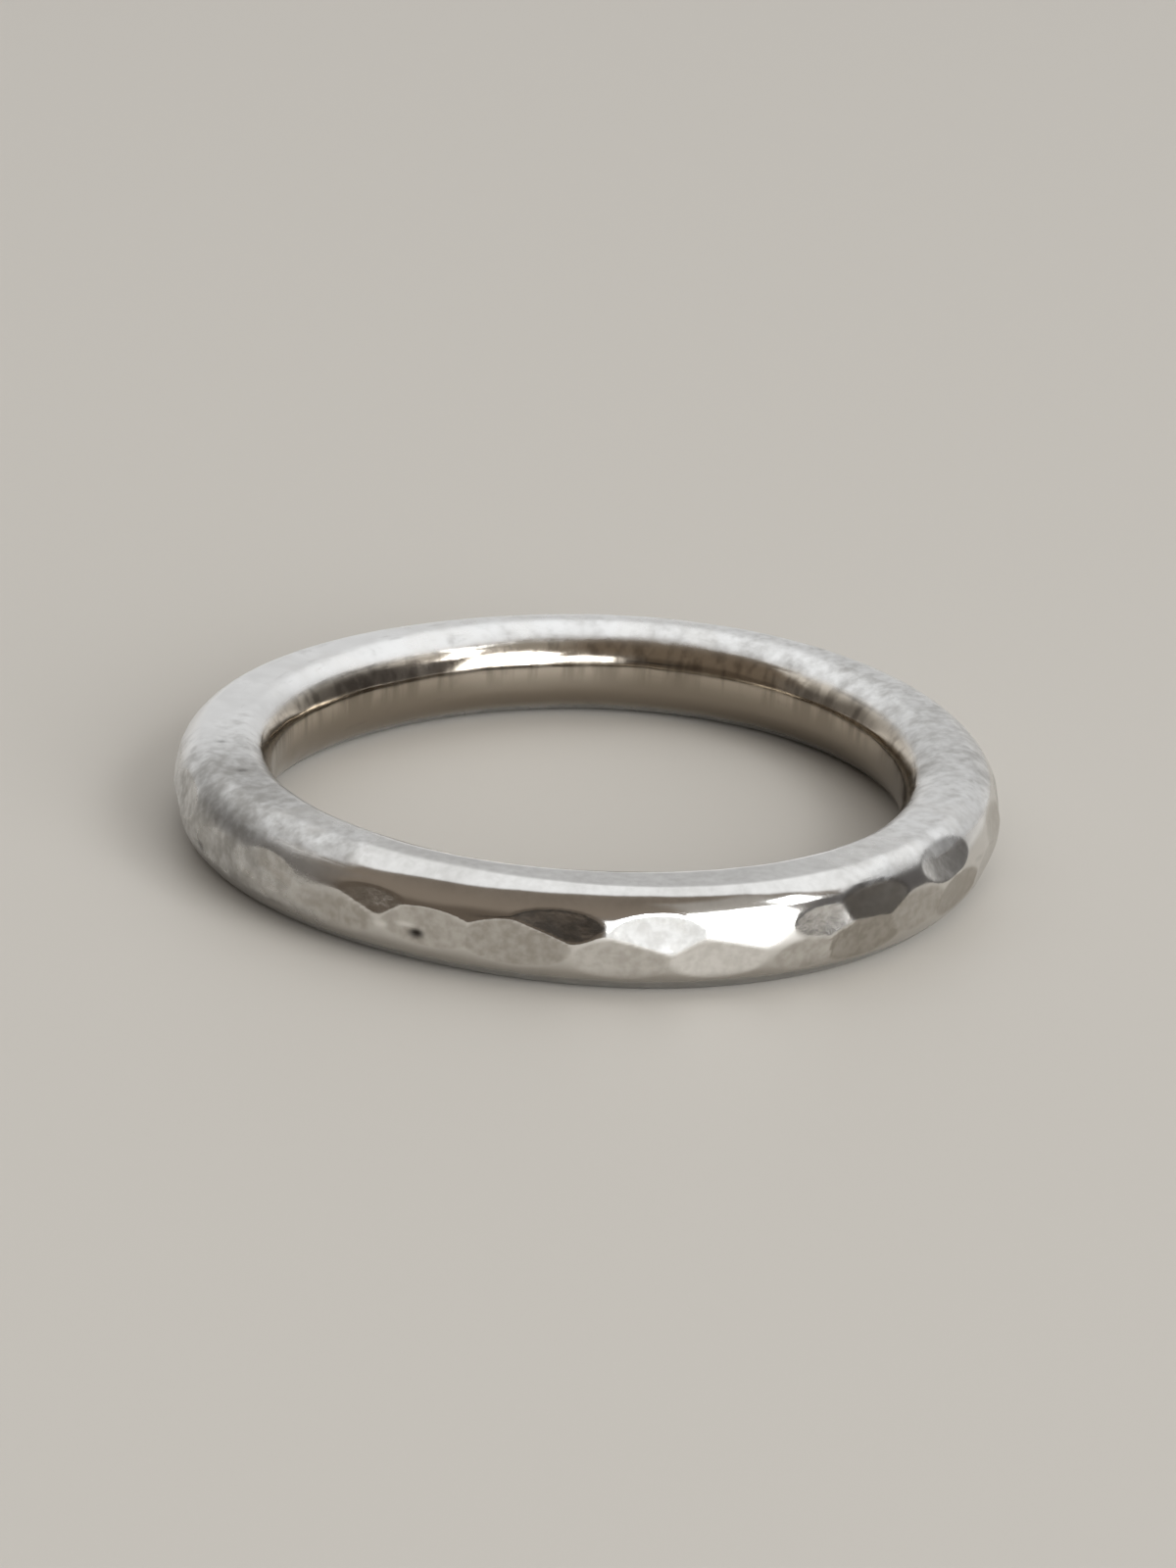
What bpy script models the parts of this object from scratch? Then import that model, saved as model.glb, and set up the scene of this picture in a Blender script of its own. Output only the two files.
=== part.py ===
"""A plain finger ring forged from one loop of heavy round silver wire.

The wire is closed into a loop and driven onto a mandrel, which leaves a narrow flat round the bore.
Its outer side is then struck with a flat hammer: each blow leaves a flat, lens-shaped face, and the
blows stagger in two rows that overlap. At the end both sides are rubbed on a flat stone, so that
the ring lies flat. The script builds the loop, then makes each blow and each rubbed side as a cut
by a plane, as the tool does.

Metres, +Z up. The ring lies on its side, with its lower rubbed face at Z = 0 and its axis on Z.
Angles round the ring are in degrees from the front (-Y), growing towards +X.
"""

import math
import random

import bmesh
import bpy
from mathutils import Vector

MM = 0.001

# Driving sizes
INNER_DIAMETER = 16.9 * MM
WIRE_THICKNESS = 2.65 * MM
WIRE_WIDTH = 2.8 * MM
RUBBED_OFF = 0.05 * MM
BORE_FLAT = 0.7 * MM

RING_HEIGHT = WIRE_WIDTH - 2 * RUBBED_OFF

# Where the hammer spread the wire or left it narrow, as a share of the wire's width
SWELL_COLUMNS = ("around", "share")
SWELL = (
    (-165, -0.03),
    (-95, 0.07),
    (-24, -0.01),
    (20, 0.06),
    (85, 0.01),
    (145, -0.02),
)

# How far the loop is out of round, as shares of the inner diameter
OUT_OF_ROUND_COLUMNS = ("waves", "peak_at", "share")
OUT_OF_ROUND = (
    (2, -35, 0.009),
    (3, 35, 0.0095),
)

# The marked blows round the front. A blow's tilt is the angle that its face leans up from the
# ring's plane, and its depth is a share of the wire's thickness.
BLOW_COLUMNS = ("around", "tilt", "depth")
FRONT_BLOWS = (
    (-57.0, -4.0, 0.023),
    (-45.0, 7.0, 0.020),
    (-33.5, -8.0, 0.026),
    (-28.0, 15.0, 0.014),
    (-20.5, -1.0, 0.028),
    (-9.5, -2.5, 0.035),
    (-5.0, 19.0, 0.025),
    (4.0, -11.0, 0.029),
    (8.5, 13.5, 0.027),
    (17.0, -10.5, 0.032),
    (21.0, 13.5, 0.024),
    (34.0, 14.0, 0.020),
    (31.0, -16.0, 0.018),
    (40.5, -13.0, 0.034),
    (42.5, 21.0, 0.027),
    (51.5, -2.0, 0.028),
    (60.0, 32.0, 0.027),
    (62.5, -9.0, 0.030),
)
FRONT_FROM = -66.0
FRONT_TO = 66.0

# The rest of the blows, in two rows that run round the ring
BLOWS_PER_ROW = 29
ROW_COLUMNS = ("start", "tilt", "depth")
ROWS = (
    (4.0, 15.0, 0.026),
    (10.0, -11.0, 0.029),
)
AIM_AROUND = 2.6
AIM_TILT = 4.5
FORCE_SPREAD = 0.28
HAMMER_SEED = 11

# Fineness of the mesh
STEPS_AROUND = 100
STEPS_OUTER = 16
STEPS_CORNER = 5
CUT_TOLERANCE = 0.0001 * MM


def row_of(columns, values):
    return dict(zip(columns, values))


def smooth_step(share):
    return share * share * (3 - 2 * share)


def swell_at(around):
    """The share by which the wire is wider or narrower at this angle."""
    rows = [row_of(SWELL_COLUMNS, values) for values in SWELL]
    for here, after in zip(rows, rows[1:] + rows[:1]):
        span = (after["around"] - here["around"]) % 360
        past = (around - here["around"]) % 360
        if past <= span:
            return here["share"] + (after["share"] - here["share"]) * smooth_step(past / span)
    return 0.0


def bore_radius_at(around):
    radius = INNER_DIAMETER / 2
    for values in OUT_OF_ROUND:
        wave = row_of(OUT_OF_ROUND_COLUMNS, values)
        turn = math.radians(wave["waves"] * (around - wave["peak_at"]))
        radius += wave["share"] * INNER_DIAMETER * math.cos(turn)
    return radius


def wire_section(around):
    """The wire's section as (radius, height) points, up the outer side and down the bore."""
    half_thick = WIRE_THICKNESS / 2
    half_wide = WIRE_WIDTH / 2 * (1 + swell_at(around))
    middle = bore_radius_at(around) + half_thick
    # The bore side is a half ellipse that the mandrel cuts off where it is BORE_FLAT high.
    flat_share = BORE_FLAT / 2 / half_wide
    inner_reach = half_thick / math.sqrt(1 - flat_share * flat_share)
    flat_from = math.pi - math.asin(flat_share)
    points = []
    for step in range(STEPS_OUTER):
        angle = -math.pi / 2 + math.pi * step / STEPS_OUTER
        points.append((middle + half_thick * math.cos(angle), half_wide * math.sin(angle)))
    for step in range(STEPS_CORNER + 1):
        angle = math.pi / 2 + (flat_from - math.pi / 2) * step / STEPS_CORNER
        points.append((middle + inner_reach * math.cos(angle), half_wide * math.sin(angle)))
    lower_bore = [(radius, -height) for radius, height in reversed(points[STEPS_OUTER + 1:])]
    return points + lower_bore


def place(around, radius, height):
    angle = math.radians(around)
    return Vector((radius * math.sin(angle), -radius * math.cos(angle), height))


def add_loop_of_wire(mesh):
    """One closed loop of wire, its middle plane at Z = 0."""
    rings = []
    for step in range(STEPS_AROUND):
        around = 360 * step / STEPS_AROUND
        section = [mesh.verts.new(place(around, *point)) for point in wire_section(around)]
        rings.append([mesh.edges.new(pair) for pair in zip(section, section[1:] + section[:1])])
    for here, after in zip(rings, rings[1:] + rings[:1]):
        bmesh.ops.bridge_loops(mesh, edges=here + after)
    bmesh.ops.recalc_face_normals(mesh, faces=mesh.faces)
    for face in mesh.faces:
        face.smooth = True


def cut_flat(mesh, outward, offset):
    """Takes off what lies beyond a plane, and closes the mesh there with a flat face."""
    cut = bmesh.ops.bisect_plane(
        mesh,
        geom=mesh.verts[:] + mesh.edges[:] + mesh.faces[:],
        dist=CUT_TOLERANCE,
        plane_co=outward * offset,
        plane_no=outward,
        clear_outer=True,
    )
    rim = [item for item in cut["geom_cut"] if isinstance(item, bmesh.types.BMEdge)]
    filled = bmesh.ops.triangle_fill(mesh, use_beauty=True, edges=rim, normal=outward)
    for item in filled["geom"]:
        if isinstance(item, bmesh.types.BMFace):
            item.smooth = False
    for edge in rim:
        if edge.is_valid:
            edge.smooth = False


def row_blows():
    """The blows of both rows outside the front stretch, each a little off its mark."""
    chance = random.Random(HAMMER_SEED)
    pitch = 360 / BLOWS_PER_ROW
    blows = []
    for values in ROWS:
        row = row_of(ROW_COLUMNS, values)
        for number in range(BLOWS_PER_ROW):
            around = row["start"] + pitch * number + chance.uniform(-AIM_AROUND, AIM_AROUND)
            tilt = row["tilt"] + chance.uniform(-AIM_TILT, AIM_TILT)
            depth = row["depth"] * (1 + chance.uniform(-FORCE_SPREAD, FORCE_SPREAD))
            if FRONT_TO < around % 360 < FRONT_FROM + 360:
                blows.append((around, tilt, depth))
    return blows


def hammer(mesh):
    blank = [vertex.co.copy() for vertex in mesh.verts]
    for values in FRONT_BLOWS + tuple(row_blows()):
        blow = row_of(BLOW_COLUMNS, values)
        tilt = math.radians(blow["tilt"])
        outward = place(blow["around"], math.cos(tilt), math.sin(tilt))
        reach = max(outward.dot(point) for point in blank)
        cut_flat(mesh, outward, reach - blow["depth"] * WIRE_THICKNESS)


def rub_sides(mesh):
    for side in (1, -1):
        cut_flat(mesh, Vector((0, 0, side)), RING_HEIGHT / 2)


def centre_over_origin(mesh):
    """Sets the ring down on Z = 0, with the middle of its outline over the origin."""
    middle = []
    for axis in (0, 1):
        reach = [vertex.co[axis] for vertex in mesh.verts]
        middle.append((min(reach) + max(reach)) / 2)
    bmesh.ops.translate(mesh, verts=mesh.verts, vec=(-middle[0], -middle[1], RING_HEIGHT / 2))


def silver():
    material = bpy.data.materials.new("silver")
    material.use_nodes = True
    shader = material.node_tree.nodes["Principled BSDF"]
    shader.inputs["Base Color"].default_value = (0.88, 0.86, 0.83, 1)
    shader.inputs["Metallic"].default_value = 1.0
    shader.inputs["Roughness"].default_value = 0.22
    return material


def add_ring_band():
    mesh = bmesh.new()
    add_loop_of_wire(mesh)
    hammer(mesh)
    rub_sides(mesh)
    centre_over_origin(mesh)
    data = bpy.data.meshes.new("ring_band")
    mesh.to_mesh(data)
    mesh.free()
    data.materials.append(silver())
    band = bpy.data.objects.new("ring_band", data)
    bpy.context.scene.collection.objects.link(band)
    return band


def main():
    for old in list(bpy.data.objects):
        bpy.data.objects.remove(old)
    add_ring_band()


main()
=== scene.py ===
# %% [markdown]
# # A hammered silver ring
#
# This lesson dresses one plain finger ring, forged from a loop of heavy round silver wire. The
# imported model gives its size, its hammered faces and its place. Here the ring gets a dense smooth
# mesh whose polished ridges catch the light, a silver that is bright on the hammered side and
# satin on the sides, and the soft daylight that it lies in. Lengths are in millimetres until a
# mesh is made, and angles round the ring are in degrees from its front.

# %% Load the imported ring
import math

import bpy
import numpy as np
from mathutils import Matrix, Vector


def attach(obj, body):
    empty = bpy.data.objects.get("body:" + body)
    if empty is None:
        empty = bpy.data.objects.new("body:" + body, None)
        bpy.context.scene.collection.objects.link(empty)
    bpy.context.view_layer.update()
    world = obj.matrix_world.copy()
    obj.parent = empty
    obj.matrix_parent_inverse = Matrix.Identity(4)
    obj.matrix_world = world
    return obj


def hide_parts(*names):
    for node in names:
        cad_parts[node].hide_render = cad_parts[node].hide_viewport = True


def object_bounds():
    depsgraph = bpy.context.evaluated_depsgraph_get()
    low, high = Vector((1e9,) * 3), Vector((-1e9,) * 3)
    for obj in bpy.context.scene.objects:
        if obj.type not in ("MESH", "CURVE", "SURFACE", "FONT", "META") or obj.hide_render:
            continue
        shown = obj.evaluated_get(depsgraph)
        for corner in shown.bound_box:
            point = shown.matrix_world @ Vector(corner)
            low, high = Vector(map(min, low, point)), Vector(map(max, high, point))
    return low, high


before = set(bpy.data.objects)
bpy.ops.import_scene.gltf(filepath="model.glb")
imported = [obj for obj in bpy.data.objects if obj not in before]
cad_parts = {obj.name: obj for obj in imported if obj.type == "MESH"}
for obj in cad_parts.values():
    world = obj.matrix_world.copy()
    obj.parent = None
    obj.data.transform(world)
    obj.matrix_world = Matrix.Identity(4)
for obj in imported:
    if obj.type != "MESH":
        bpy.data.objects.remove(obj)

MM = 0.001
cad_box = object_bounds()
cad_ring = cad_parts["ring_band"]
low, high = (np.array(corner) / MM for corner in cad_box)
ring_height = high[2] - low[2]
print("ring, mm:", np.round(high - low, 2))

# %% [markdown]
# ## Reading the hammer's work back
#
# A flat hammer leaves flat faces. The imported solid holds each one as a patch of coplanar
# triangles, so the faces can be read back as planes instead of being listed again. The largest
# triangle that has no plane yet gives one, every triangle that lies in it joins it, and only
# planes that look outwards and are large enough to be a blow are kept.

# %% Find the hammered planes
SMALLEST_FACE = 0.22
SAME_NORMAL = math.cos(math.radians(0.4))
SAME_OFFSET = 0.003
RUBBED_NORMAL = 0.9
PERCENTILES = (0, 50, 100)


def triangles_of(node):
    node.data.calc_loop_triangles()
    points = np.array([vertex.co for vertex in node.data.vertices]) / MM
    corners = np.array([triangle.vertices for triangle in node.data.loop_triangles])
    return points[corners]


def planes_of(triangles):
    """Rows of outward normal, offset, area and centre, one for each hammered face."""
    normals = np.cross(triangles[:, 1] - triangles[:, 0], triangles[:, 2] - triangles[:, 0])
    areas = np.linalg.norm(normals, axis=1) / 2
    normals = normals / (2 * areas[:, None] + 1e-12)
    offsets = np.einsum("ij,ij->i", normals, triangles[:, 0])
    centres = triangles.mean(axis=1)
    outwards = np.einsum("ij,ij->i", normals[:, :2], centres[:, :2]) > 0
    left = outwards & (np.abs(normals[:, 2]) < RUBBED_NORMAL)
    planes = []
    while left.any():
        first = np.argmax(np.where(left, areas, 0))
        same = left & (normals @ normals[first] > SAME_NORMAL)
        same &= np.abs(offsets - offsets[first]) < SAME_OFFSET
        left &= ~same
        area = areas[same].sum()
        if area > SMALLEST_FACE:
            normal = (normals[same] * areas[same, None]).sum(axis=0)
            normal /= np.linalg.norm(normal)
            offset = (centres[same] @ normal * areas[same]).sum() / area
            centre = (centres[same] * areas[same, None]).sum(axis=0) / area
            planes.append((*normal, offset, area, *centre))
    return np.array(planes)


cad_triangles = triangles_of(cad_ring)
hammered = planes_of(cad_triangles)
print(len(hammered), "hammered faces")
print("least, median and largest, mm2:", np.round(np.percentile(hammered[:, 4], PERCENTILES), 2))

# %% [markdown]
# ## Reading the loop back
#
# A loop bent by hand is never quite round, and the hammer spreads the wire more in some places
# than in others. Both are smooth waves round the ring. The bore's flat gives the radius at each
# angle, and the rounded corner beside the bore gives the width of the wire. A few waves fitted to
# those points give smooth curves that can be read at any angle.

# %% Fit the radius of the bore round the loop
WIRE_THICKNESS = 2.65
BORE_FLAT = 0.7
BORE_MARGIN = 0.01
WAVES = 9


def wave_table(around):
    turns = np.arange(1, WAVES + 1)[None, :] * np.asarray(around)[:, None]
    return np.hstack([np.ones((len(turns), 1)), np.cos(turns), np.sin(turns)])


def fitted(around, values):
    """A function that gives the fitted value at any angles round the ring."""
    weights = np.linalg.lstsq(wave_table(around), values, rcond=None)[0]
    return lambda angles: wave_table(angles) @ weights


corners = cad_triangles.reshape(-1, 3)
corner_around = np.arctan2(corners[:, 0], -corners[:, 1])
corner_radius = np.hypot(corners[:, 0], corners[:, 1])
corner_height = corners[:, 2] - ring_height / 2
on_bore = np.abs(corner_height) < BORE_FLAT / 2 + BORE_MARGIN
on_bore &= corner_radius < corner_radius.mean()
bore_radius = fitted(corner_around[on_bore], corner_radius[on_bore])

ring_angles = np.radians(np.arange(360))
print("bore radius, mm:", np.round(np.percentile(bore_radius(ring_angles), PERCENTILES), 3))

# %% Fit the width of the wire round the loop
# How far across the wire the corner beside the bore lies, as shares of half its thickness
CORNER_FROM = -0.9
CORNER_TO = -0.3

half_thick = WIRE_THICKNESS / 2
across = corner_radius - bore_radius(corner_around) - half_thick
beside_bore = (across < CORNER_TO * half_thick) & (across > CORNER_FROM * half_thick)
share = across[beside_bore] / half_thick
rise = corner_height[beside_bore] ** 2 - (share * BORE_FLAT / 2) ** 2
half_width = fitted(corner_around[beside_bore], np.sqrt(rise / (1 - share**2)))
print("wire width, mm:", np.round(2 * np.percentile(half_width(ring_angles), PERCENTILES), 3))

# %% [markdown]
# ## The rays that find the surface
#
# The ring's section is a rounded shape without hollows, so every point of it can be seen from the
# middle of the wire. A grid of rays from there, round the ring and round the wire, meets the
# surface once each, and the distances along them are all that is needed for a mesh. More rays
# look outwards, where the fine ridges are.

# %% Lay out the rays
STEPS_AROUND = 1000
STEPS_ACROSS = 96
CROWD_OUTSIDE = 0.35

around = np.linspace(0, 2 * math.pi, STEPS_AROUND, endpoint=False)
step_across = np.linspace(-math.pi, math.pi, STEPS_ACROSS, endpoint=False)
tilt = step_across - CROWD_OUTSIDE * np.sin(step_across)
grid_around, grid_tilt = np.meshgrid(around, tilt, indexing="ij")

outward = np.stack([np.sin(grid_around), -np.cos(grid_around), np.zeros_like(grid_around)], axis=-1)
upward = np.array([0.0, 0.0, 1.0])
ray = outward * np.cos(grid_tilt)[..., None] + upward * np.sin(grid_tilt)[..., None]
bore_at = bore_radius(around)[:, None]
width_at = half_width(around)[:, None]
middle = outward * (bore_at + half_thick)[..., None] + upward * ring_height / 2
print("rays:", ray.shape[0], "x", ray.shape[1])

# %% [markdown]
# ## The wire before the hammer
#
# The wire is round, its bore side was pressed flat by the mandrel, and its two sides were rubbed
# on a stone. Along each ray the nearest of those surfaces counts. A plain minimum of the
# distances would give knife edges. Wear and polishing round them, so the distances are blended by
# a soft minimum, whose softness is the wear of the edge.

# %% Blend the round wire, the bore's flat and the rubbed sides
SIDE_SOFTNESS = 0.012
BORE_SOFTNESS = 0.022
TINY = 1e-6


def soft_minimum(distances, softness):
    """The least of the distances, with the corner between near ones rounded off."""
    least = distances.min(axis=0)
    return least - softness * np.log(np.exp((least - distances) / softness).sum(axis=0))


inner_reach = half_thick / np.sqrt(1 - (BORE_FLAT / 2 / width_at) ** 2)
reach = np.where(np.cos(grid_tilt) > 0, half_thick, inner_reach)
round_wire = (np.cos(grid_tilt) / reach) ** 2 + (np.sin(grid_tilt) / width_at) ** 2
round_wire = 1 / np.sqrt(round_wire)
rubbed = ring_height / 2 / np.maximum(np.abs(np.sin(grid_tilt)), TINY)
bore_wall = half_thick / np.maximum(-np.cos(grid_tilt), TINY)
wire = soft_minimum(np.stack([round_wire, bore_wall]), BORE_SOFTNESS)
wire = soft_minimum(np.stack([wire, rubbed]), SIDE_SOFTNESS)
print("from the wire's middle to its surface, mm:", np.round([wire.min(), wire.max()], 3))

# %% [markdown]
# ## The hammered faces
#
# Each blow cuts one more plane into the same minimum, and the wear of the ridges between them
# differs round the ring, so its softness comes from a short table. The hammer's own face is a
# touch domed, which leaves each blow slightly dished: that is why real hammered faces show soft
# changes of tone instead of one flat grey.

# %% Cut in the hammered faces
# Rows of (around, softness)
RIDGE_SOFTNESS = ((-150, 0.004), (-80, 0.010), (-40, 0.012), (-23, 0.0028), (60, 0.0028),
                  (100, 0.005))
DISH_RADIUS = (14.0, 30.0)
DISH_SEED = 6
FULL_FACE = 2.2
HIGHEST_RISE = 0.05
LEAST_FACING = 0.05
FAR_OFF = 9.0
CERTAIN = 30


def smooth_step(share):
    share = np.clip(share, 0, 1)
    return share * share * (3 - 2 * share)


def table_round(rows, angles):
    """A table of (around, value) rows read at any angle, eased from row to row."""
    stops = np.array(rows + ((rows[0][0] + 360, rows[0][1]),))
    angles = (np.degrees(angles) - stops[0, 0]) % 360 + stops[0, 0]
    row = np.clip(np.searchsorted(stops[:, 0], angles, side="right") - 1, 0, len(stops) - 2)
    part = (angles - stops[row, 0]) / (stops[row + 1, 0] - stops[row, 0])
    return stops[row, 1] + (stops[row + 1, 1] - stops[row, 1]) * smooth_step(part)


def blow_distance(plane, dish):
    """How far each ray runs to a dished face, which rises from its centre towards its rim."""
    normal, offset, area, centre = plane[:3], plane[3], plane[4], plane[5:8]
    facing = np.maximum(ray @ normal, LEAST_FACING)
    flat = (offset - middle @ normal) / facing
    off_centre = ((middle + ray * flat[..., None] - centre) ** 2).sum(axis=-1)
    rise = (off_centre - FULL_FACE * area / math.pi) / (2 * dish)
    dished = flat + np.minimum(rise, HIGHEST_RISE) / facing
    return np.where(ray @ normal > LEAST_FACING, dished, FAR_OFF)


dishes = np.random.default_rng(DISH_SEED).uniform(*DISH_RADIUS, len(hammered))
blows = np.array([blow_distance(plane, dish) for plane, dish in zip(hammered, dishes)])
softness = table_round(RIDGE_SOFTNESS, around)[:, None]
surface = soft_minimum(np.concatenate([wire[None], blows]), softness)
beyond_wire = np.clip((blows.min(axis=0) - wire) / (2 * softness), -CERTAIN, CERTAIN)
struck = 1 / (1 + np.exp(beyond_wire))
print("share of the surface that the hammer made:", round(float(struck.mean()), 3))

# %% [markdown]
# ## Small unevenness
#
# Even a polished hand-made surface isn't exact. Low waves, a few thousandths of a millimetre high,
# bend the reflections in the bore and over the satin sides, and each hammered face is a touch
# uneven. Sums of sine waves in seeded directions give this without any seam, because they are
# read from the point's own place in space.

# %% Work out the low waves
# Each wave is (height, length) in millimetres
BORE_WAVE = (0.0035, 2.2)
WIRE_WAVE = (0.0020, 1.1)
FACE_WAVE = (0.0008, 0.5)
OUTER_ROOM = 0.006
# How steeply the bore's waves fade out over the sides, and how far inside them they begin
BORE_FADE = (1.6, 0.2)


def low_waves(points, length, seed, count=14):
    """A smooth random height between about -1 and 1, whose bumps are about `length` mm apart."""
    chance = np.random.default_rng(seed)
    heights = np.zeros(points.shape[:-1])
    for _ in range(count):
        direction = chance.normal(size=3)
        direction *= 2 * math.pi / length * chance.uniform(0.7, 1.4) / np.linalg.norm(direction)
        heights += np.sin(points @ direction + chance.uniform(0, 2 * math.pi))
    return heights / math.sqrt(count)


points = middle + ray * surface[..., None]
in_bore = np.clip(-np.cos(grid_tilt) * BORE_FADE[0] - BORE_FADE[1], 0, 1)
waves = BORE_WAVE[0] * in_bore * low_waves(points, BORE_WAVE[1], seed=3)
waves += WIRE_WAVE[0] * low_waves(points, WIRE_WAVE[1], seed=4)
waves += FACE_WAVE[0] * struck * low_waves(points, FACE_WAVE[1], seed=5)
# The outer side is taken in a little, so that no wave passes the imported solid's box
waves -= OUTER_ROOM * np.clip(np.cos(grid_tilt), 0, 1)
print("waves, mm:", np.round([waves.min(), waves.max()], 4))

# %% [markdown]
# ## The pit and the nicks
#
# A worn ring has single marks: a pit where dirt sits, a dent at the left end, and fresh nicks that
# show clean metal. There are few, and each has its own place, so a short table holds them. Each
# one is a shallow hollow in the mesh, and the silver reads how dirty it is.

# %% Press in the pit and the nicks
NICK_COLUMNS = ("around", "tilt", "along", "across", "depth", "dirt")
NICKS = (
    (-21.5, -12.0, 0.18, 0.13, 0.030, 1.0),
    (-26.5, -8.0, 0.17, 0.08, 0.020, 0.0),
    (-23.0, -3.0, 0.22, 0.08, 0.020, 0.0),
    (-63.0, -17.0, 0.18, 0.12, 0.030, 0.6),
    (-78.5, 87.0, 0.10, 0.13, 0.008, 0.5),
    (-66.0, 91.0, 0.12, 0.14, 0.008, 0.5),
)
NICK_EDGE = 1.5


def nick_share(nick):
    """1 at the middle of a nick, falling to 0 past its reach along and across the wire."""
    turn = (grid_around - math.radians(nick["around"]) + math.pi) % (2 * math.pi) - math.pi
    along = turn * (bore_at + half_thick) / nick["along"]
    across = (grid_tilt - math.radians(nick["tilt"])) * half_thick / nick["across"]
    return np.exp(-(along**2 + across**2) ** NICK_EDGE)


nick_rows = [dict(zip(NICK_COLUMNS, row)) for row in NICKS]
nicks = np.array([nick_share(nick) for nick in nick_rows])
depths = np.array([nick["depth"] for nick in nick_rows])
dirt = np.array([nick["dirt"] for nick in nick_rows])
waves -= np.tensordot(depths, nicks, axes=1)
print(len(nicks), "nicks, the deepest", depths.max(), "mm")

# %% [markdown]
# ## The mesh
#
# The grid of rays closes on itself both ways, so its points make a mesh of four-sided faces
# without any seam or cap. The rubbed sides stay the highest and the lowest level, because the
# ring rests on one of them.

# %% Make the mesh
def ring_mesh(name, points):
    """A closed mesh from a grid of points that runs round the ring and round the wire."""
    rings, sides = points.shape[:2]
    number = np.arange(rings * sides).reshape(rings, sides)
    after = np.roll(number, -1, axis=0)
    faces = [number, after, np.roll(after, -1, axis=1), np.roll(number, -1, axis=1)]
    faces = np.stack(faces, axis=-1)
    mesh = bpy.data.meshes.new(name)
    mesh.from_pydata((points.reshape(-1, 3) * MM).tolist(), [], faces.reshape(-1, 4).tolist())
    mesh.shade_smooth()
    mesh.update()
    return mesh


points = middle + ray * np.minimum(surface + waves, rubbed)[..., None]
band = bpy.data.objects.new("hammered_band", ring_mesh("hammered_band", points))
bpy.context.scene.collection.objects.link(band)
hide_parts("ring_band")
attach(band, "root")
print(len(band.data.polygons) * 2, "triangles")

# %% [markdown]
# ## Where each finish lies
#
# One silver wears several finishes. The sides were rubbed on a fine stone and are satin. The bore
# was burnished by the mandrel. The polishing cloth reached the front best. Under the ring the
# polish fades out as well, which makes the lower side duller and darker: painted shade. These are
# stored on the ring's points as shares from 0 to 1, and the material only has to read them.

# %% Store where the hammer, the stone and the bore are
# The lean is the angle from straight outwards, 0 outside and 180 in the bore. Each pair of angles
# gives where a finish begins to show and where it is full.
SIDE_BEGINS = (34, 56)
SIDE_ENDS = (142, 128)
VEIL_ENDS = (110, 90)
BORE_BEGINS = (128, 144)
RIDGE_GLEAM = 0.006
# Rows of (around, share): how far the satin spreads over the outer side
VEIL = ((-150, 0.40), (-100, 0.80), (-62, 0.75), (-38, 0.35), (-20, 0.00), (56, 0.00), (75, 0.20),
        (110, 0.40), (160, 0.35))


def eased(values, start, end):
    return smooth_step((values - start) / (end - start))


def store(mesh, name, values):
    layer = mesh.attributes.new(name, "FLOAT", "POINT")
    layer.data.foreach_set("value", np.ascontiguousarray(values, np.float32).ravel())
    print(name, "mean share:", round(float(values.mean()), 3))


lean = np.degrees(np.abs(grid_tilt))
side = eased(lean, *SIDE_BEGINS) * eased(lean, *SIDE_ENDS)
veil = table_round(VEIL, around)[:, None] * eased(lean, *VEIL_ENDS)
nearest, second = np.sort(np.concatenate([wire[None], blows]), axis=0)[:2]
store(band.data, "struck", struck)
store(band.data, "ridge", np.exp((nearest - second) / RIDGE_GLEAM))
store(band.data, "side", np.maximum(side, veil))
store(band.data, "bore", eased(lean, *BORE_BEGINS))
store(band.data, "dirty_nick", np.tensordot(dirt, nicks, axes=1))
store(band.data, "fresh_nick", np.tensordot(dirt == 0, nicks, axes=1))

# %% Store where the polish, the tarnish and the painted shade are
CLOTH_AND_SHADE_BEGINS = (-46, -20)
CLOTH_INSIDE = 120
BELOW_OUTSIDE = (6, -38)
BELOW_INSIDE = (22, -12)
# Rows of (around, share)
POLISH = ((-150, 0.25), (-75, 0.00), (-42, 0.20), (-22, 0.90), (26, 1.00), (46, 0.45), (80, 0.05),
          (130, 0.10), (170, 0.30))
# The tarnish table is partly painted shade: it darkens the satin more on some sides of the ring
# than on others.
TARNISH_AND_SHADE = ((-175, 0.16), (-130, 0.00), (-92, 0.02), (-62, 0.72), (-35, 0.50), (0, 0.42),
           (62, 0.26), (95, 0.46), (130, 0.42))

# Under the ring the polish fades out: partly a finish, partly painted shade that darkens the lower
# side.
cloth_and_lower_shade = np.where(lean > CLOTH_INSIDE, 1, eased(np.degrees(grid_tilt), *CLOTH_AND_SHADE_BEGINS))
rise_angle = np.degrees(np.arcsin(np.sin(grid_tilt)))
below_inside = eased(rise_angle, *BELOW_INSIDE)
below_outside = eased(rise_angle, *BELOW_OUTSIDE)
below = np.where(lean > 90, below_inside, below_outside)
store(band.data, "polish", table_round(POLISH, around)[:, None] * cloth_and_lower_shade)
store(band.data, "below", below)
# Painted shade: the lower side of the wire is darkened along with the tarnish.
store(band.data, "tarnish_and_shade", np.maximum(table_round(TARNISH_AND_SHADE, around)[:, None], below**2))

# %% [markdown]
# ## Bright and dull blows
#
# The hammer's face is polished in places and scuffed in others, so some blows come out bright and
# their neighbours dull. The blows at the front are the ones that are looked at, and each has its
# own row in a table. The others are drawn by chance.

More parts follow.
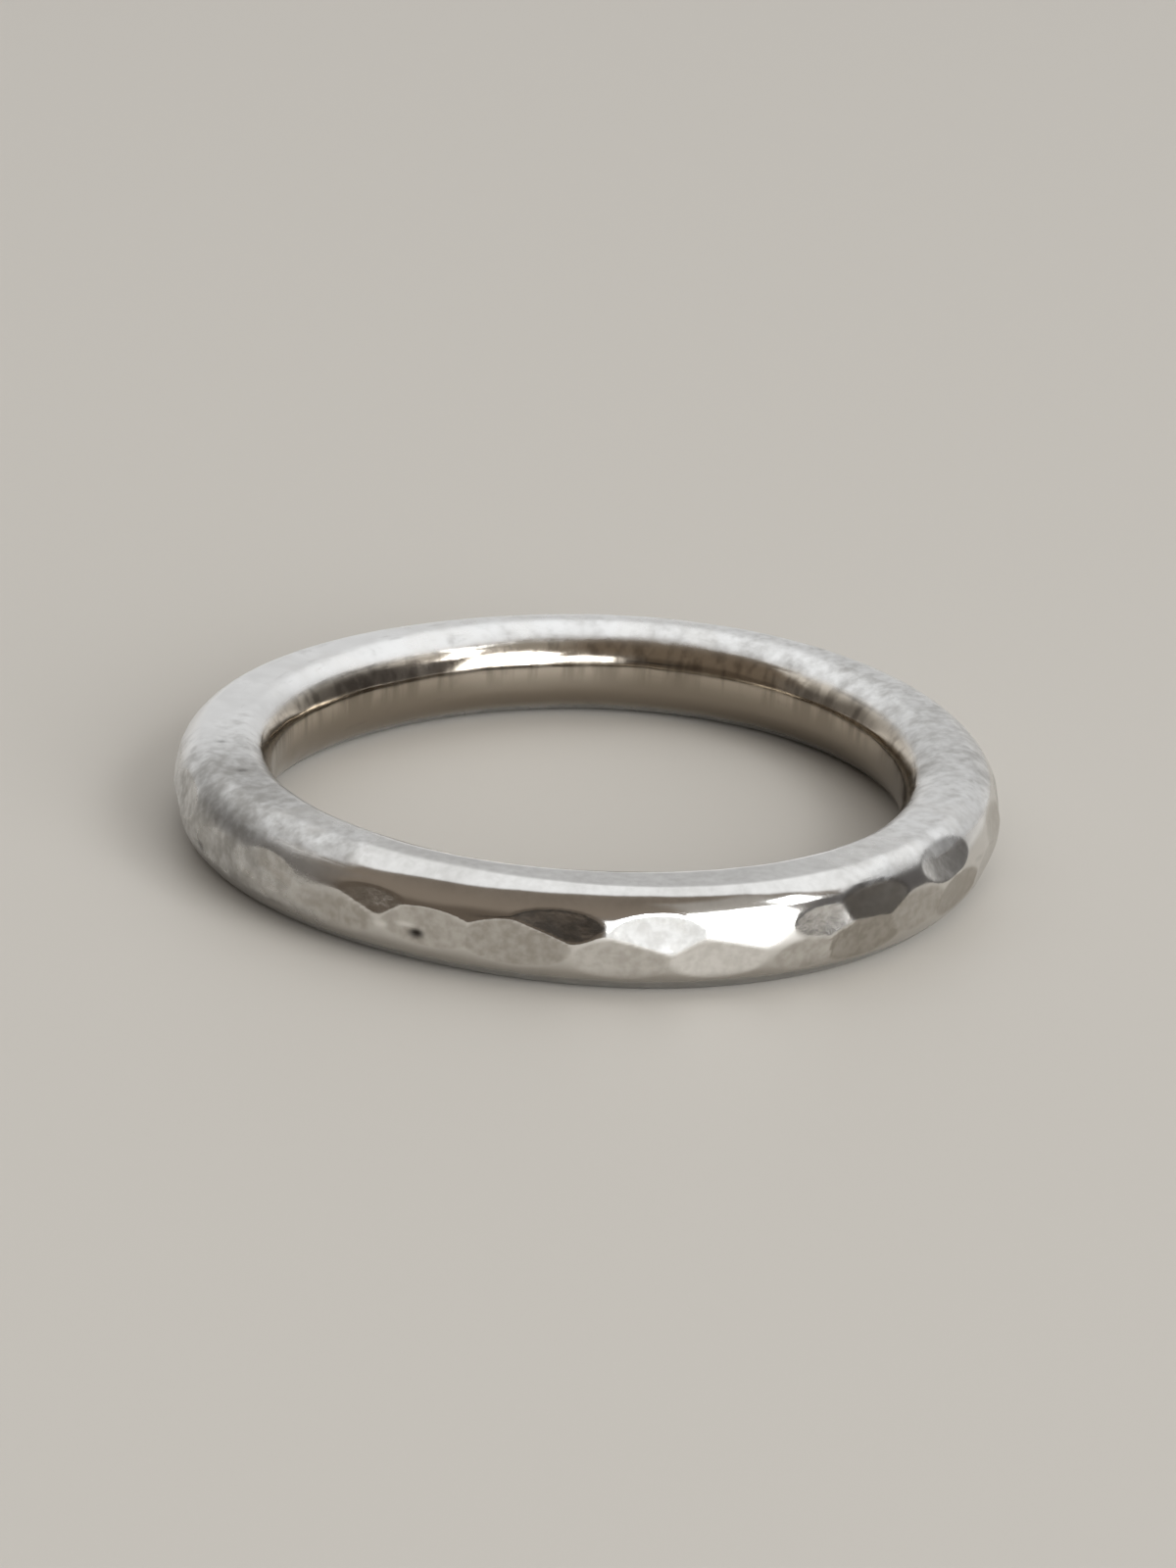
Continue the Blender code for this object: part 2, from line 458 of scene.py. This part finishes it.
# %% Store how dull each hammered face is
# Rows of (around, tilt, dullness)
DULL_FACES = ((-57, -4, 0.8), (-45, 7, 0.7), (-33, -8, 0.7), (-28, 15, 0.3), (-20, -1, 0.6),
              (-9, -2, 0.7), (-5, 19, 0.2), (4, -11, 0.4), (8, 13, 0.2), (17, -10, 0.1),
              (21, 13, 0.0), (34, 14, 0.4), (31, -16, 0.5), (40, -13, 0.9), (42, 21, 1.0),
              (51, -2, 0.6), (60, 32, 0.1), (62, -9, 1.0))
OTHER_DULLNESS = (0.45, 1.0)
NEAR_MARK = 4.0


def face_dullness(planes, seed):
    """One share for each plane: from the marked face beside it, or drawn by chance."""
    drawn = np.random.default_rng(seed).uniform(*OTHER_DULLNESS, len(planes))
    mark_around, mark_tilt, mark_dullness = np.array(DULL_FACES).T
    plane_around = np.degrees(np.arctan2(planes[:, 0], -planes[:, 1]))
    plane_tilt = np.degrees(np.arcsin(planes[:, 2]))
    off = np.hypot(plane_around[:, None] - mark_around, plane_tilt[:, None] - mark_tilt)
    return np.where(off.min(axis=1) < NEAR_MARK, mark_dullness[off.argmin(axis=1)], drawn)


store(band.data, "dullness", face_dullness(hammered, seed=8)[blows.argmin(axis=0)])

# %% [markdown]
# ## Small tools for materials
#
# A material is a graph of nodes. A few helpers keep the graphs short: one adds a node and links
# its sockets, and the others stand for one plain thought each, such as fading from one value to
# another or laying one colour over another.

# %% Helpers that add nodes
def connect(tree, socket, value):
    if isinstance(value, bpy.types.NodeSocket):
        tree.links.new(value, socket)
    elif socket.type == "RGBA" and len(value) == 3:
        socket.default_value = (*value, 1)
    else:
        socket.default_value = value


def add(tree, kind, sockets=None, **settings):
    """A new node with its settings, each named socket set to a value or linked from an output."""
    made = tree.nodes.new("ShaderNode" + kind)
    for name, value in settings.items():
        setattr(made, name, value)
    for name, value in (sockets or {}).items():
        connect(tree, made.inputs[name], value)
    return made


def calc(tree, operation, *values):
    return add(tree, "Math", dict(enumerate(values)), operation=operation).outputs[0]


def moved(tree, operation, *values):
    """Calculates with vectors, such as places and directions."""
    return add(tree, "VectorMath", dict(enumerate(values)), operation=operation).outputs[0]


print("helpers for nodes and sums are ready")

# %% Helpers that fade and blend
def fade(tree, value, start, end, low=0.0, high=1.0):
    """Goes smoothly from low to high as the value goes from start to end."""
    sockets = {"Value": value, "From Min": start, "From Max": end, "To Min": low, "To Max": high}
    return add(tree, "MapRange", sockets, interpolation_type="SMOOTHSTEP").outputs[0]


def swing(tree, pattern, amount, reach=0.2):
    """Turns a pattern that varies round 0.5 into a number between -amount and amount."""
    return fade(tree, pattern, 0.5 - reach, 0.5 + reach, -amount, amount)


def tint(tree, under, share, over):
    """Lays one colour over another by a share."""
    return add(tree, "Mix", {0: share, 6: under, 7: over}, data_type="RGBA").outputs[2]


def blend(tree, first, share, second):
    """Goes from one number to another by a share."""
    return add(tree, "Mix", {0: share, 2: first, 3: second}, data_type="FLOAT").outputs[0]


print("helpers for fading and blending are ready")

# %% [markdown]
# ## Two patterns for worn metal
#
# Mottling is the cloudy unevenness of a surface that was etched, fired or handled, and it can be
# made by layered noise. The grain that a stone or a mandrel leaves is long one way and fine the
# other. Noise that reads the place on the ring gives it too, when the place along the wire and
# the place across it are sped up or slowed down on their own. Each pattern is a node group, so it
# is built once and placed as often as it is needed.

# %% Helpers that make and place a group
def new_group(name, inputs):
    """A node group with number inputs and one number output named Value."""
    group = bpy.data.node_groups.new(name, "ShaderNodeTree")
    for label, value in inputs.items():
        socket = group.interface.new_socket(label, in_out="INPUT", socket_type="NodeSocketFloat")
        socket.default_value = value
    group.interface.new_socket("Value", in_out="OUTPUT", socket_type="NodeSocketFloat")
    given = group.nodes.new("NodeGroupInput").outputs
    result = group.nodes.new("NodeGroupOutput").inputs["Value"]
    return group, given, result


def use(tree, group, **sockets):
    """Places a group, sets its inputs by name and gives its value."""
    made = add(tree, "Group", node_tree=group)
    for name, value in sockets.items():
        connect(tree, made.inputs[name], value)
    return made.outputs["Value"]


def millimetres(tree):
    """The place on the ring in millimetres."""
    place = add(tree, "TexCoord").outputs["Object"]
    return add(tree, "VectorMath", {0: place, "Scale": 1 / MM}, operation="SCALE").outputs[0]


print("helpers for groups are ready")

# %% Make the mottling
mottle, given, result = new_group("mottle", {"Size": 0.2, "Detail": 3.0, "Shift": 0.0})
shifted = moved(mottle, "ADD", millimetres(mottle), given["Shift"])
noise = add(mottle, "TexNoise", {
    "Vector": shifted,
    "Scale": calc(mottle, "DIVIDE", 1.0, given["Size"]),
    "Detail": given["Detail"],
})
mottle.links.new(noise.outputs[0], result)
print("made the group", mottle.name)

# %% Make the grain
grain, given, result = new_group("grain", {"Along": 0.6, "Across": 10.0, "Detail": 3.0})
x, y, z = add(grain, "SeparateXYZ", {0: millimetres(grain)}).outputs[:3]
radius = calc(grain, "SQRT", calc(grain, "MULTIPLY_ADD", x, x, calc(grain, "MULTIPLY", y, y)))
stretched = add(grain, "CombineXYZ", {
    0: calc(grain, "MULTIPLY", x, given["Along"]),
    1: calc(grain, "MULTIPLY", y, given["Along"]),
    2: calc(grain, "MULTIPLY", z, given["Across"]),
}).outputs[0]
noise = add(grain, "TexNoise", {
    "Vector": stretched,
    "W": calc(grain, "MULTIPLY", radius, given["Across"]),
    "Scale": 1.0,
    "Detail": given["Detail"],
}, noise_dimensions="4D")
grain.links.new(noise.outputs[0], result)
print("made the group", grain.name)

# %% [markdown]
# ## The silver
#
# Silver is a metal, so its colour is the colour of what it reflects, and its finish is mostly a
# matter of roughness. The polished front is nearly white and smooth. The hammered faces are a
# little darker and warmer, the satin sides are cooler and rough, and the bore, which no cloth
# reaches well, is brown with faint upright streaks. The lower side and the bottom of the bore are
# darkened by painted shade, and the satin's tarnish is partly painted shade. One material can wear
# all of them, because it reads the shares that are stored on the ring. Soft clouds vary them, so
# that no finish ends at a hard line.

# %% Start the silver from the stored finishes and the patterns
STORED = ("struck", "ridge", "side", "bore", "polish", "below", "tarnish_and_shade", "dullness",
          "dirty_nick", "fresh_nick")

silver = bpy.data.materials.new("hammered_silver")
silver.use_nodes = True
tree = silver.node_tree
shader = tree.nodes["Principled BSDF"]
shader.inputs["Metallic"].default_value = 1.0
band.data.materials.append(silver)

mask = {name: add(tree, "Attribute", attribute_name=name).outputs["Fac"] for name in STORED}
wide_clouds = use(tree, mottle, Size=1.6, Detail=3.0, Shift=9.0)
clouds = use(tree, mottle, Size=0.75, Detail=3.0)
fine_clouds = use(tree, mottle, Size=0.26, Detail=4.0, Shift=4.0)
strokes = use(tree, grain, Along=0.9, Across=3.5, Detail=3.0)
upright_streaks = use(tree, grain, Along=2.4, Across=0.35, Detail=3.0)
print("the silver reads:", ", ".join(mask))

# %% Mask the dull and the satin places
POLISH_CLOUDS = 0.22
STROKES_IN_SATIN = 0.6

polished = calc(tree, "ADD", mask["polish"], swing(tree, wide_clouds, POLISH_CLOUDS))
bright = fade(tree, polished, 0.15, 0.85)
dull = calc(tree, "SUBTRACT", 1.0, bright)
rubbed_share = calc(tree, "MULTIPLY_ADD", strokes, STROKES_IN_SATIN, mask["side"])
satin = calc(tree, "MULTIPLY", dull, fade(tree, rubbed_share, 0.45, 1.0))
unstruck = calc(tree, "SUBTRACT", 1.0, mask["struck"])
print("masked the dull and the satin places")

# %% [markdown]
# ### The colours
#
# The colours are laid from the widest finish to the narrowest, as they came about: the hammered
# body, darkened under the ring by painted shade, the satin sides over it, the bore, darkened
# towards its bottom by painted shade, and last the flecks, the fine scratches and the nicks, which
# either hold dirt or show fresh metal.

# %% Colour the body
BRIGHT_SILVER = (0.90, 0.885, 0.86)
HAMMERED_SILVER = (0.38, 0.352, 0.31)
FACE_CLOUDS = 0.14
DULL_BODY = 0.35
UNDERSIDE_SHADE = 0.6

face_share = calc(tree, "ADD", mask["dullness"], swing(tree, fine_clouds, FACE_CLOUDS))
faces = tint(tree, BRIGHT_SILVER, face_share, HAMMERED_SILVER)
body = tint(tree, BRIGHT_SILVER, mask["struck"], faces)
# The dull places include the lower side of the ring, so this darkening is partly painted shade.
body = tint(tree, body, calc(tree, "MULTIPLY", dull, DULL_BODY), HAMMERED_SILVER)
# Painted shade: the unstruck lower side of the ring is darkened towards the hammered colour.
underside_shade = calc(tree, "MULTIPLY", unstruck, mask["below"])
body = tint(tree, body, calc(tree, "MULTIPLY", underside_shade, UNDERSIDE_SHADE), HAMMERED_SILVER)
print("bright and hammered silver:", BRIGHT_SILVER, HAMMERED_SILVER)

# %% Colour the satin sides
SATIN_SILVER = (0.88, 0.885, 0.89)
SATIN_TARNISH_AND_SHADE = (0.36, 0.35, 0.335)
TARNISH_CLOUDS = 0.14
TARNISH_FINE_CLOUDS = 0.11
CLOUDS_WHERE_POLISHED = 0.50
SIDE_WHERE_UNSTRUCK = 0.75

patches = calc(tree, "ADD", swing(tree, clouds, TARNISH_CLOUDS, reach=0.22),
               swing(tree, fine_clouds, TARNISH_FINE_CLOUDS))
patches = calc(tree, "MULTIPLY", patches, blend(tree, CLOUDS_WHERE_POLISHED, dull, 1.0))
# This share holds tarnish and painted shade, which darkens the satin on some sides and underneath.
cloudy = calc(tree, "ADD", mask["tarnish_and_shade"], patches)
side_colour = tint(tree, SATIN_SILVER, fade(tree, cloudy, 0.0, 1.0), SATIN_TARNISH_AND_SHADE)
unstruck_side = fade(tree, mask["struck"], 0.2, 0.9, SIDE_WHERE_UNSTRUCK, 0.0)
on_side = calc(tree, "MAXIMUM", satin, calc(tree, "MULTIPLY", mask["side"], unstruck_side))
body = tint(tree, body, on_side, side_colour)
print("clean and tarnished satin:", SATIN_SILVER, SATIN_TARNISH_AND_SHADE)

# %% Colour the bore
BORE_SILVER = (0.56, 0.50, 0.42)
BORE_LOW_SHADE = (0.31, 0.27, 0.22)
BORE_STREAK = (0.24, 0.205, 0.165)
STREAK_STRENGTH = 0.7

streaks = calc(tree, "MULTIPLY", fade(tree, upright_streaks, 0.44, 0.64), STREAK_STRENGTH)
bore_colour = tint(tree, BORE_SILVER, streaks, BORE_STREAK)
# Painted shade: the bore is darkened towards its bottom.
body = tint(tree, body, mask["bore"], tint(tree, bore_colour, mask["below"], BORE_LOW_SHADE))
print("bore, its haze and its streaks:", BORE_SILVER, BORE_LOW_SHADE, BORE_STREAK)

# %% Colour the flecks, the scratches and the nicks
GRIME = (0.17, 0.155, 0.135)
NICK_DIRT = (0.035, 0.030, 0.027)
FLECK_STRENGTH = 0.20
SCRATCH_STRENGTH = 0.22

flecks = fade(tree, clouds, 0.62, 0.78)
flecks = calc(tree, "MULTIPLY", flecks, calc(tree, "MULTIPLY", dull, FLECK_STRENGTH))
scratches = fade(tree, strokes, 0.58, 0.76)
scratches = calc(tree, "MULTIPLY", scratches, calc(tree, "MULTIPLY", dull, SCRATCH_STRENGTH))
body = tint(tree, body, calc(tree, "MAXIMUM", flecks, scratches), GRIME)
body = tint(tree, body, mask["dirty_nick"], NICK_DIRT)
body = tint(tree, body, mask["fresh_nick"], BRIGHT_SILVER)
connect(tree, shader.inputs["Base Color"], body)
print("grime and dirt:", GRIME, NICK_DIRT)

# %% [markdown]
# ### The gloss and the relief
#
# How sharp a reflection is tells the eye how a metal was finished. The ridges are rubbed brightest,
# the hammered faces blur a little more the duller they are, and the satin sides blur most. A very
# low bump, a hundredth of a millimetre, gives the satin its cloudy sparkle.

# %% Set the roughness
POLISHED_ROUGHNESS = 0.10
SCUFFED_ROUGHNESS = 0.24
DULL_ROUGHNESS = 0.27
SATIN_ROUGHNESS = (0.28, 0.42)
BORE_ROUGHNESS = (0.11, 0.18)
DULL_SHARE = 0.6
RIDGE_SHARE = 0.6

scuffed = blend(tree, POLISHED_ROUGHNESS, mask["dullness"], SCUFFED_ROUGHNESS)
rough = blend(tree, POLISHED_ROUGHNESS, mask["struck"], scuffed)
rough = blend(tree, rough, calc(tree, "MULTIPLY", dull, DULL_SHARE), DULL_ROUGHNESS)
rough = blend(tree, rough, satin, fade(tree, clouds, 0.3, 0.7, *SATIN_ROUGHNESS))
rough = blend(tree, rough, mask["bore"], fade(tree, clouds, 0.35, 0.65, *BORE_ROUGHNESS))
worn_ridge = calc(tree, "MULTIPLY", mask["ridge"], RIDGE_SHARE)
rough = blend(tree, rough, worn_ridge, POLISHED_ROUGHNESS)
connect(tree, shader.inputs["Roughness"], rough)
print("roughness from", POLISHED_ROUGHNESS, "to", SATIN_ROUGHNESS[1])

# %% Raise the relief
RELIEF_HEIGHT = 0.010
# Each pair is how much of a pattern shows: (where it is weakest, where it is strongest)
FINE_RELIEF = (0.10, 0.45)
CLOUD_RELIEF = (0.20, 1.6)
SCRATCH_RELIEF = -0.5

fine_share = blend(tree, FINE_RELIEF[0], mask["struck"], FINE_RELIEF[1])
cloud_share = blend(tree, CLOUD_RELIEF[0], satin, CLOUD_RELIEF[1])
relief = calc(tree, "MULTIPLY", fine_clouds, fine_share)
relief = calc(tree, "MULTIPLY_ADD", clouds, cloud_share, relief)
relief = calc(tree, "MULTIPLY_ADD", scratches, SCRATCH_RELIEF, relief)
bump = add(tree, "Bump", {"Height": relief, "Distance": RELIEF_HEIGHT * MM, "Strength": 1.0})
connect(tree, shader.inputs["Normal"], bump.outputs[0])
print("silver is made of", len(tree.nodes), "nodes")

# %% [markdown]
# ## The table
#
# The ring lies on a pale, smooth table with a little sheen. The table matters for the silver as
# much as the light does, because the lower faces of the ring look down at it and mirror it. A
# plain disc that is wide enough to reach the horizon is all that it takes.

# %% Lay the table
TABLE_RADIUS = 1.4
TABLE_COLOUR = (0.585, 0.557, 0.512)

bpy.ops.mesh.primitive_circle_add(vertices=96, radius=TABLE_RADIUS, fill_type="NGON")
table = bpy.context.object
table.name = "table_top"
paint = bpy.data.materials.new("table_paint")
paint.use_nodes = True
paint_shader = paint.node_tree.nodes["Principled BSDF"]
paint_shader.inputs["Base Color"].default_value = (*TABLE_COLOUR, 1)
paint_shader.inputs["Specular IOR Level"].default_value = 0.30
paint_shader.inputs["Roughness"].default_value = 0.50
table.data.materials.append(paint)
print("table radius, m:", TABLE_RADIUS)

# %% [markdown]
# ## The room
#
# Polished silver shows the whole room, so the surroundings are drawn as a room seen from the ring.
# A dim warm ceiling is in front and overhead, and a white screen rises behind it and greys towards
# the far wall. Directions are given as the azimuth from the front, the elevation, and the angle
# over the top, which runs from the near horizon at 0 to the far one at 180. A few soft patches of
# shade and glow break it up, because a real room is never even. The camera sees a plain pale
# backdrop instead.

# %% Find the directions in the room
world = bpy.data.worlds.new("room")
bpy.context.scene.world = world
world.use_nodes = True
tree = world.node_tree
tree.nodes.clear()
x, y, z = add(tree, "SeparateXYZ", {0: add(tree, "TexCoord").outputs["Generated"]}).outputs[:3]
near = calc(tree, "MULTIPLY", y, -1.0)
over_top = calc(tree, "DEGREES", calc(tree, "ARCTAN2", z, near))
direction = add(tree, "CombineXYZ", {
    0: calc(tree, "DEGREES", calc(tree, "ARCTAN2", x, near)),
    1: calc(tree, "DEGREES", calc(tree, "ARCSINE", z)),
}).outputs[0]
print("the room is drawn by azimuth, elevation and the angle over the top")

# %% Paint the ceiling, the screen and the far wall
NEAR_DARK = (0.11, 0.088, 0.068)
CEILING = (0.205, 0.170, 0.136)
SCREEN = (1.0, 1.0, 0.99)
FAR_WALL = (0.56, 0.555, 0.545)
HORIZON = (0.82, 0.81, 0.79)
# Rows of (where it begins over the top, where it is full, its colour)
OVER_TOP = ((26, 42, CEILING), (83, 88, SCREEN), (132, 160, FAR_WALL), (164, 175, HORIZON))

room = NEAR_DARK
for start, end, colour in OVER_TOP:
    room = tint(tree, room, fade(tree, over_top, start, end), colour)
print(len(OVER_TOP) + 1, "tones over the top")

# %% Add the patches of shade and glow
PATCH_COLUMNS = ("azimuth", "half_width", "elevation", "half_height", "softness", "colour")
PATCHES = (
    (-98, 26, -10, 40, 0.30, (0.20, 0.19, 0.18)),
    (98, 26, -10, 40, 0.30, (0.16, 0.155, 0.15)),
    (87, 23, 15, 21, 0.35, (0.10, 0.094, 0.092)),
    (52, 24, 50, 14, 0.30, (0.36, 0.335, 0.30)),
    (-12, 15, 16.5, 2.5, 0.50, (0.020, 0.017, 0.014)),
    (16.5, 11.5, 5, 7, 0.15, (0.97, 0.99, 1.0)),
)


def inside(azimuth, half_width, elevation, half_height, softness):
    """1 within a rectangle of directions and 0 outside, its edges soft by a share of its size."""
    scale = (1 / half_width, 1 / half_height, 0)
    offset = (-azimuth / half_width, -elevation / half_height, 0)
    off = moved(tree, "ABSOLUTE", moved(tree, "MULTIPLY_ADD", direction, scale, offset))
    off_x, off_y = add(tree, "SeparateXYZ", {0: off}).outputs[:2]
    return fade(tree, calc(tree, "MAXIMUM", off_x, off_y), 1 - softness, 1 + softness, 1.0, 0.0)


for row in PATCHES:
    patch = dict(zip(PATCH_COLUMNS, row))
    colour = patch.pop("colour")
    room = tint(tree, room, inside(**patch), colour)
print(len(PATCHES), "patches of shade and glow")

# %% Show the room to the silver and the backdrop to the camera
BACKDROP = (0.72, 0.74, 0.78)

room_light = add(tree, "Background", {"Color": room})
backdrop = add(tree, "Background", {"Color": BACKDROP})
seen = add(tree, "MixShader", {
    0: add(tree, "LightPath").outputs["Is Camera Ray"],
    1: room_light.outputs[0],
    2: backdrop.outputs[0],
})
connect(tree, add(tree, "OutputWorld").inputs["Surface"], seen.outputs[0])
bpy.context.scene.view_settings.view_transform = "Standard"
print("backdrop:", BACKDROP)

# %% [markdown]
# ## The daylight
#
# Soft daylight comes in low from the front right. It is made of upright area lights, because these
# show in the silver as crisp bright shapes and still give the soft shadow of a large source. Each
# one is given by the directions that it fills, and its power follows from its area, so that all
# are equally bright.

# %% Hang the daylight
DAYLIGHT = (4.6, 4.7, 4.8)
LIGHT_DISTANCE = 1.0
POWER_PER_AREA = 4.0
LIGHT_COLUMNS = ("name", "azimuth", "half_width", "elevation_from", "elevation_to")
LIGHTS = (
    ("daylight_wide", 44, 16, 0.3, 42),
    ("daylight_low", 16.5, 11.5, 11, 31),
    ("daylight_slim", 70, 6, 36, 50),
)


def height_at(elevation):
    """How high a direction from the ring has risen where the lights hang."""
    return math.tan(math.radians(elevation)) * LIGHT_DISTANCE


def hang_light(name, azimuth, half_width, elevation_from, elevation_to):
    """An upright rectangle of light that faces the ring and fills the given directions."""
    bottom, top = height_at(elevation_from), height_at(elevation_to)
    data = bpy.data.lights.new(name, "AREA")
    data.shape = "RECTANGLE"
    data.size = 2 * math.tan(math.radians(half_width)) * LIGHT_DISTANCE
    data.size_y = top - bottom
    data.energy = POWER_PER_AREA * max(DAYLIGHT) * data.size * data.size_y
    data.color = [value / max(DAYLIGHT) for value in DAYLIGHT]
    light = bpy.data.objects.new(name, data)
    bpy.context.scene.collection.objects.link(light)
    turn = math.radians(azimuth)
    place = (math.sin(turn) * LIGHT_DISTANCE, -math.cos(turn) * LIGHT_DISTANCE)
    light.location = (*place, (bottom + top) / 2)
    light.rotation_euler = (math.radians(90), 0, turn)
    light.visible_camera = False
    return light


for row in LIGHTS:
    light = hang_light(**dict(zip(LIGHT_COLUMNS, row)))
    print(light.name, "power, W:", round(light.data.energy, 2))

# %% [markdown]
# ## The camera
#
# The camera stands where the photograph was taken from, about 12 centimetres from the ring and a
# little above it, and is rolled a few degrees as it was. A long lens fills the picture with the
# ring and leaves the way its shape looks as it is, because only the place of a camera changes that.

# %% Set the camera
VIEW_ELEVATION = 21.2
VIEW_DISTANCE = 118.95
VIEW_ROLL = 3.4
LENS = 102.0

camera = bpy.data.objects.new("camera", bpy.data.cameras.new("camera"))
bpy.context.scene.collection.objects.link(camera)
bpy.context.scene.camera = camera
camera.data.lens = LENS
camera.data.sensor_width = 36
camera.data.clip_start = 0.01
camera.data.clip_end = 10
lift = math.radians(VIEW_ELEVATION)
back = Vector((0, -math.cos(lift), math.sin(lift)))
camera.location = Vector((0, 0, ring_height / 2 * MM)) + back * VIEW_DISTANCE * MM
facing = (-back).to_track_quat("-Z", "Y").to_matrix().to_4x4()
camera.rotation_euler = (facing @ Matrix.Rotation(math.radians(VIEW_ROLL), 4, "Z")).to_euler()
print("camera, mm:", [round(value / MM, 1) for value in camera.location])
